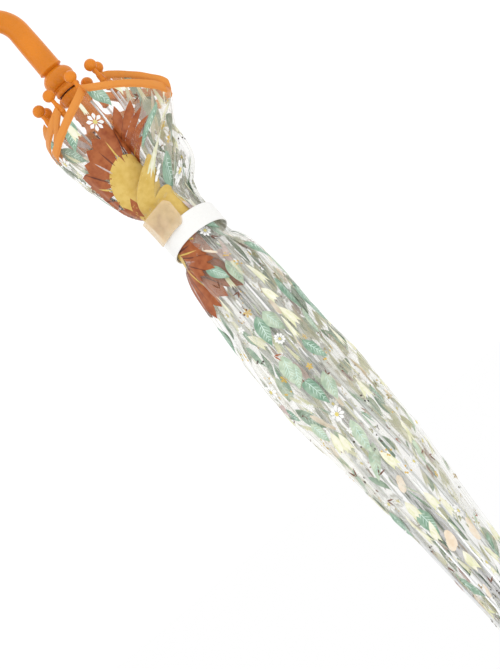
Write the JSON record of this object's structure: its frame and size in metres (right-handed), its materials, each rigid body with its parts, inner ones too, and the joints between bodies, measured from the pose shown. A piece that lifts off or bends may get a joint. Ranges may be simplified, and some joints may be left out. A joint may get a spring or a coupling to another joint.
{
  "type": "children's umbrella",
  "caption": "Furled children's dome umbrella with a transparent flower-printed canopy, crook handle, ball-tipped ribs and a closing strap; it opens on a sliding runner.",
  "frame": {"origin": "middle of the hand grip, on the shaft's axis", "axes": "+Z along the shaft towards the ferrule tip; the crook handle bends towards +X"},
  "size_m": [0.105, 0.0952, 0.6477],
  "materials": {
    "handle_plastic": "satin moulded",
    "tip_plastic": "satin moulded",
    "hub_plastic": "satin moulded",
    "shaft_steel": "plated",
    "rib_steel": "satin",
    "canopy_film": "clear printed film",
    "canopy_print": "printed ink on film",
    "binding": "woven tape",
    "strap_white": "woven tape",
    "strap_clear": "frosted film"
  },
  "bodies": {
    "shaft": {"shaft_tube": "shaft_steel", "handle": "handle_plastic", "crown_notch": "hub_plastic", "crown_wire": "rib_steel", "ferrule_tip": "hub_plastic", "stop_pin": "rib_steel"},
    "runner": {"runner": "hub_plastic", "runner_wire": "rib_steel"},
    "lower_catch": {"lower_catch": "rib_steel"},
    "upper_catch": {"upper_catch": "rib_steel"},
    "strap_tab": {"strap_tab": "strap_clear"},
    "rib_1": {"rib_inner_1": "rib_steel"},
    "rod_1": {"rib_outer_1": "rib_steel", "tip_1": "tip_plastic", "strap": "strap_white"},
    "stretcher_1": {"stretcher_1": "rib_steel"},
    "panel_upper_1": {"gore_upper_1": "canopy_film"},
    "panel_lower_1": {"gore_lower_1": "canopy_film"},
    "rib_2": {"rib_inner_2": "rib_steel"},
    "rod_2": {"rib_outer_2": "rib_steel", "tip_2": "tip_plastic"},
    "stretcher_2": {"stretcher_2": "rib_steel"},
    "panel_upper_2": {"gore_upper_2": "canopy_film"},
    "panel_lower_2": {"gore_lower_2": "canopy_film"},
    "rib_3": {"rib_inner_3": "rib_steel"},
    "rod_3": {"rib_outer_3": "rib_steel", "tip_3": "tip_plastic"},
    "stretcher_3": {"stretcher_3": "rib_steel"},
    "panel_upper_3": {"gore_upper_3": "canopy_film"},
    "panel_lower_3": {"gore_lower_3": "canopy_film"},
    "rib_4": {"rib_inner_4": "rib_steel"},
    "rod_4": {"rib_outer_4": "rib_steel", "tip_4": "tip_plastic"},
    "stretcher_4": {"stretcher_4": "rib_steel"},
    "panel_upper_4": {"gore_upper_4": "canopy_film"},
    "panel_lower_4": {"gore_lower_4": "canopy_film"},
    "rib_5": {"rib_inner_5": "rib_steel"},
    "rod_5": {"rib_outer_5": "rib_steel", "tip_5": "tip_plastic"},
    "stretcher_5": {"stretcher_5": "rib_steel"},
    "panel_upper_5": {"gore_upper_5": "canopy_film"},
    "panel_lower_5": {"gore_lower_5": "canopy_film"},
    "rib_6": {"rib_inner_6": "rib_steel"},
    "rod_6": {"rib_outer_6": "rib_steel", "tip_6": "tip_plastic"},
    "stretcher_6": {"stretcher_6": "rib_steel"},
    "panel_upper_6": {"gore_upper_6": "canopy_film"},
    "panel_lower_6": {"gore_lower_6": "canopy_film"},
    "rib_7": {"rib_inner_7": "rib_steel"},
    "rod_7": {"rib_outer_7": "rib_steel", "tip_7": "tip_plastic"},
    "stretcher_7": {"stretcher_7": "rib_steel"},
    "panel_upper_7": {"gore_upper_7": "canopy_film"},
    "panel_lower_7": {"gore_lower_7": "canopy_film"},
    "rib_8": {"rib_inner_8": "rib_steel"},
    "rod_8": {"rib_outer_8": "rib_steel", "tip_8": "tip_plastic"},
    "stretcher_8": {"stretcher_8": "rib_steel"},
    "panel_upper_8": {"gore_upper_8": "canopy_film"},
    "panel_lower_8": {"gore_lower_8": "canopy_film"}
  },
  "joints": [
    {"name": "open_close", "type": "hinge", "parent": "shaft", "child": "rib_1", "pos_m": [0.00475, -0.00823, 0.551], "axis": [-0.866, -0.5, 0], "range_deg": [0, 60], "deforming": ["strap"]},
    {"name": "stretcher_1_pivot", "type": "hinge", "parent": "rib_1", "child": "stretcher_1", "pos_m": [0.00475, -0.00823, 0.3155], "axis": [-0.866, -0.5, 0], "range_deg": [-120, 0]},
    {"name": "rod_1_flex", "type": "hinge", "parent": "rib_1", "child": "rod_1", "pos_m": [0.00475, -0.00823, 0.3155], "axis": [-0.866, -0.5, 0], "range_deg": [-22, 0]},
    {"name": "gore_1_spread", "type": "hinge", "parent": "rib_1", "child": "panel_upper_1", "pos_m": [0.00237, -0.00411, 0.55923], "axis": [0.433, -0.75, 0.5], "range_deg": [0, 45], "deforming": ["gore_upper_1"]},
    {"name": "hem_1_spread", "type": "hinge", "parent": "rod_1", "child": "panel_lower_1", "pos_m": [-0.0431, 0.07466, 0.5397], "axis": [0.3078, -0.5332, 0.788], "range_deg": [0, 45], "deforming": ["gore_lower_1"]},
    {"name": "runner_pivot", "type": "hinge", "parent": "stretcher_1", "child": "runner", "pos_m": [0.00475, -0.00823, 0.08], "axis": [-0.866, -0.5, 0], "range_deg": [0, 60]},
    {"name": "rib_2_swing", "type": "hinge", "parent": "shaft", "child": "rib_2", "pos_m": [0.00918, -0.00246, 0.551], "axis": [-0.2588, -0.9659, 0], "range_deg": [0, 60]},
    {"name": "stretcher_2_pivot", "type": "hinge", "parent": "rib_2", "child": "stretcher_2", "pos_m": [0.00918, -0.00246, 0.3155], "axis": [-0.2588, -0.9659, 0], "range_deg": [-120, 0]},
    {"name": "rod_2_flex", "type": "hinge", "parent": "rib_2", "child": "rod_2", "pos_m": [0.00918, -0.00246, 0.3155], "axis": [-0.2588, -0.9659, 0], "range_deg": [-22, 0]},
    {"name": "gore_2_spread", "type": "hinge", "parent": "rib_2", "child": "panel_upper_2", "pos_m": [0.00459, -0.00123, 0.55923], "axis": [0.8365, -0.2241, 0.5], "range_deg": [0, 45], "deforming": ["gore_upper_2"]},
    {"name": "hem_2_spread", "type": "hinge", "parent": "rod_2", "child": "panel_lower_2", "pos_m": [-0.08327, 0.02231, 0.5397], "axis": [0.5947, -0.1593, 0.788], "range_deg": [0, 45], "deforming": ["gore_lower_2"]},
    {"name": "rib_3_swing", "type": "hinge", "parent": "shaft", "child": "rib_3", "pos_m": [0.00823, 0.00475, 0.551], "axis": [0.5, -0.866, 0], "range_deg": [0, 60]},
    {"name": "stretcher_3_pivot", "type": "hinge", "parent": "rib_3", "child": "stretcher_3", "pos_m": [0.00823, 0.00475, 0.3155], "axis": [0.5, -0.866, 0], "range_deg": [-120, 0]},
    {"name": "rod_3_flex", "type": "hinge", "parent": "rib_3", "child": "rod_3", "pos_m": [0.00823, 0.00475, 0.3155], "axis": [0.5, -0.866, 0], "range_deg": [-22, 0]},
    {"name": "gore_3_spread", "type": "hinge", "parent": "rib_3", "child": "panel_upper_3", "pos_m": [0.00411, 0.00237, 0.55923], "axis": [0.75, 0.433, 0.5], "range_deg": [0, 45], "deforming": ["gore_upper_3"]},
    {"name": "hem_3_spread", "type": "hinge", "parent": "rod_3", "child": "panel_lower_3", "pos_m": [-0.07466, -0.0431, 0.5397], "axis": [0.5332, 0.3078, 0.788], "range_deg": [0, 45], "deforming": ["gore_lower_3"]},
    {"name": "rib_4_swing", "type": "hinge", "parent": "shaft", "child": "rib_4", "pos_m": [0.00246, 0.00918, 0.551], "axis": [0.9659, -0.2588, 0], "range_deg": [0, 60]},
    {"name": "stretcher_4_pivot", "type": "hinge", "parent": "rib_4", "child": "stretcher_4", "pos_m": [0.00246, 0.00918, 0.3155], "axis": [0.9659, -0.2588, 0], "range_deg": [-120, 0]},
    {"name": "rod_4_flex", "type": "hinge", "parent": "rib_4", "child": "rod_4", "pos_m": [0.00246, 0.00918, 0.3155], "axis": [0.9659, -0.2588, 0], "range_deg": [-22, 0]},
    {"name": "gore_4_spread", "type": "hinge", "parent": "rib_4", "child": "panel_upper_4", "pos_m": [0.00123, 0.00459, 0.55923], "axis": [0.2241, 0.8365, 0.5], "range_deg": [0, 45], "deforming": ["gore_upper_4"]},
    {"name": "hem_4_spread", "type": "hinge", "parent": "rod_4", "child": "panel_lower_4", "pos_m": [-0.02231, -0.08327, 0.5397], "axis": [0.1593, 0.5947, 0.788], "range_deg": [0, 45], "deforming": ["gore_lower_4"]},
    {"name": "rib_5_swing", "type": "hinge", "parent": "shaft", "child": "rib_5", "pos_m": [-0.00475, 0.00823, 0.551], "axis": [0.866, 0.5, 0], "range_deg": [0, 60]},
    {"name": "stretcher_5_pivot", "type": "hinge", "parent": "rib_5", "child": "stretcher_5", "pos_m": [-0.00475, 0.00823, 0.3155], "axis": [0.866, 0.5, 0], "range_deg": [-120, 0]},
    {"name": "rod_5_flex", "type": "hinge", "parent": "rib_5", "child": "rod_5", "pos_m": [-0.00475, 0.00823, 0.3155], "axis": [0.866, 0.5, 0], "range_deg": [-22, 0]},
    {"name": "gore_5_spread", "type": "hinge", "parent": "rib_5", "child": "panel_upper_5", "pos_m": [-0.00237, 0.00411, 0.55923], "axis": [-0.433, 0.75, 0.5], "range_deg": [0, 45], "deforming": ["gore_upper_5"]},
    {"name": "hem_5_spread", "type": "hinge", "parent": "rod_5", "child": "panel_lower_5", "pos_m": [0.0431, -0.07466, 0.5397], "axis": [-0.3078, 0.5332, 0.788], "range_deg": [0, 45], "deforming": ["gore_lower_5"]},
    {"name": "rib_6_swing", "type": "hinge", "parent": "shaft", "child": "rib_6", "pos_m": [-0.00918, 0.00246, 0.551], "axis": [0.2588, 0.9659, 0], "range_deg": [0, 60]},
    {"name": "stretcher_6_pivot", "type": "hinge", "parent": "rib_6", "child": "stretcher_6", "pos_m": [-0.00918, 0.00246, 0.3155], "axis": [0.2588, 0.9659, 0], "range_deg": [-120, 0]},
    {"name": "rod_6_flex", "type": "hinge", "parent": "rib_6", "child": "rod_6", "pos_m": [-0.00918, 0.00246, 0.3155], "axis": [0.2588, 0.9659, 0], "range_deg": [-22, 0]},
    {"name": "gore_6_spread", "type": "hinge", "parent": "rib_6", "child": "panel_upper_6", "pos_m": [-0.00459, 0.00123, 0.55923], "axis": [-0.8365, 0.2241, 0.5], "range_deg": [0, 45], "deforming": ["gore_upper_6"]},
    {"name": "hem_6_spread", "type": "hinge", "parent": "rod_6", "child": "panel_lower_6", "pos_m": [0.08327, -0.02231, 0.5397], "axis": [-0.5947, 0.1593, 0.788], "range_deg": [0, 45], "deforming": ["gore_lower_6"]},
    {"name": "rib_7_swing", "type": "hinge", "parent": "shaft", "child": "rib_7", "pos_m": [-0.00823, -0.00475, 0.551], "axis": [-0.5, 0.866, 0], "range_deg": [0, 60]},
    {"name": "stretcher_7_pivot", "type": "hinge", "parent": "rib_7", "child": "stretcher_7", "pos_m": [-0.00823, -0.00475, 0.3155], "axis": [-0.5, 0.866, 0], "range_deg": [-120, 0]},
    {"name": "rod_7_flex", "type": "hinge", "parent": "rib_7", "child": "rod_7", "pos_m": [-0.00823, -0.00475, 0.3155], "axis": [-0.5, 0.866, 0], "range_deg": [-22, 0]},
    {"name": "gore_7_spread", "type": "hinge", "parent": "rib_7", "child": "panel_upper_7", "pos_m": [-0.00411, -0.00237, 0.55923], "axis": [-0.75, -0.433, 0.5], "range_deg": [0, 45], "deforming": ["gore_upper_7"]},
    {"name": "hem_7_spread", "type": "hinge", "parent": "rod_7", "child": "panel_lower_7", "pos_m": [0.07466, 0.0431, 0.5397], "axis": [-0.5332, -0.3078, 0.788], "range_deg": [0, 45], "deforming": ["gore_lower_7"]},
    {"name": "rib_8_swing", "type": "hinge", "parent": "shaft", "child": "rib_8", "pos_m": [-0.00246, -0.00918, 0.551], "axis": [-0.9659, 0.2588, 0], "range_deg": [0, 60]},
    {"name": "stretcher_8_pivot", "type": "hinge", "parent": "rib_8", "child": "stretcher_8", "pos_m": [-0.00246, -0.00918, 0.3155], "axis": [-0.9659, 0.2588, 0], "range_deg": [-120, 0]},
    {"name": "rod_8_flex", "type": "hinge", "parent": "rib_8", "child": "rod_8", "pos_m": [-0.00246, -0.00918, 0.3155], "axis": [-0.9659, 0.2588, 0], "range_deg": [-22, 0]},
    {"name": "gore_8_spread", "type": "hinge", "parent": "rib_8", "child": "panel_upper_8", "pos_m": [-0.00123, -0.00459, 0.55923], "axis": [-0.2241, -0.8365, 0.5], "range_deg": [0, 45], "deforming": ["gore_upper_8"]},
    {"name": "hem_8_spread", "type": "hinge", "parent": "rod_8", "child": "panel_lower_8", "pos_m": [0.02231, 0.08327, 0.5397], "axis": [-0.1593, -0.5947, 0.788], "range_deg": [0, 45], "deforming": ["gore_lower_8"]},
    {"name": "lower_catch_press", "type": "hinge", "parent": "shaft", "child": "lower_catch", "pos_m": [0.00152, 0.00198, 0.1166], "axis": [-0.7934, 0.6088, 0], "range_deg": [0, 7], "stiffness_Nm_per_rad": 0.02},
    {"name": "upper_catch_press", "type": "hinge", "parent": "shaft", "child": "upper_catch", "pos_m": [0.00152, 0.00198, 0.2479], "axis": [0.7934, -0.6088, 0], "range_deg": [0, 7], "stiffness_Nm_per_rad": 0.02},
    {"name": "strap_tab_peel", "type": "hinge", "parent": "rod_1", "child": "strap_tab", "pos_m": [0.01819, -0.01273, 0.16475], "axis": [0, 0, 1], "range_deg": [0, 100]}
  ],
  "couplings": [
    {"joint": "runner_pivot", "follows": "open_close", "ratio": 1},
    {"joint": "stretcher_1_pivot", "follows": "open_close", "ratio": -2},
    {"joint": "rod_1_flex", "follows": "open_close", "ratio": -0.36665},
    {"joint": "gore_1_spread", "follows": "open_close", "ratio": 0.74999},
    {"joint": "hem_1_spread", "follows": "open_close", "ratio": 0.74999},
    {"joint": "rib_2_swing", "follows": "open_close", "ratio": 1},
    {"joint": "stretcher_2_pivot", "follows": "open_close", "ratio": -2},
    {"joint": "rod_2_flex", "follows": "open_close", "ratio": -0.36665},
    {"joint": "gore_2_spread", "follows": "open_close", "ratio": 0.74999},
    {"joint": "hem_2_spread", "follows": "open_close", "ratio": 0.74999},
    {"joint": "rib_3_swing", "follows": "open_close", "ratio": 1},
    {"joint": "stretcher_3_pivot", "follows": "open_close", "ratio": -2},
    {"joint": "rod_3_flex", "follows": "open_close", "ratio": -0.36665},
    {"joint": "gore_3_spread", "follows": "open_close", "ratio": 0.74999},
    {"joint": "hem_3_spread", "follows": "open_close", "ratio": 0.74999},
    {"joint": "rib_4_swing", "follows": "open_close", "ratio": 1},
    {"joint": "stretcher_4_pivot", "follows": "open_close", "ratio": -2},
    {"joint": "rod_4_flex", "follows": "open_close", "ratio": -0.36665},
    {"joint": "gore_4_spread", "follows": "open_close", "ratio": 0.74999},
    {"joint": "hem_4_spread", "follows": "open_close", "ratio": 0.74999},
    {"joint": "rib_5_swing", "follows": "open_close", "ratio": 1},
    {"joint": "stretcher_5_pivot", "follows": "open_close", "ratio": -2},
    {"joint": "rod_5_flex", "follows": "open_close", "ratio": -0.36665},
    {"joint": "gore_5_spread", "follows": "open_close", "ratio": 0.74999},
    {"joint": "hem_5_spread", "follows": "open_close", "ratio": 0.74999},
    {"joint": "rib_6_swing", "follows": "open_close", "ratio": 1},
    {"joint": "stretcher_6_pivot", "follows": "open_close", "ratio": -2},
    {"joint": "rod_6_flex", "follows": "open_close", "ratio": -0.36665},
    {"joint": "gore_6_spread", "follows": "open_close", "ratio": 0.74999},
    {"joint": "hem_6_spread", "follows": "open_close", "ratio": 0.74999},
    {"joint": "rib_7_swing", "follows": "open_close", "ratio": 1},
    {"joint": "stretcher_7_pivot", "follows": "open_close", "ratio": -2},
    {"joint": "rod_7_flex", "follows": "open_close", "ratio": -0.36665},
    {"joint": "gore_7_spread", "follows": "open_close", "ratio": 0.74999},
    {"joint": "hem_7_spread", "follows": "open_close", "ratio": 0.74999},
    {"joint": "rib_8_swing", "follows": "open_close", "ratio": 1},
    {"joint": "stretcher_8_pivot", "follows": "open_close", "ratio": -2},
    {"joint": "rod_8_flex", "follows": "open_close", "ratio": -0.36665},
    {"joint": "gore_8_spread", "follows": "open_close", "ratio": 0.74999},
    {"joint": "hem_8_spread", "follows": "open_close", "ratio": 0.74999}
  ]
}
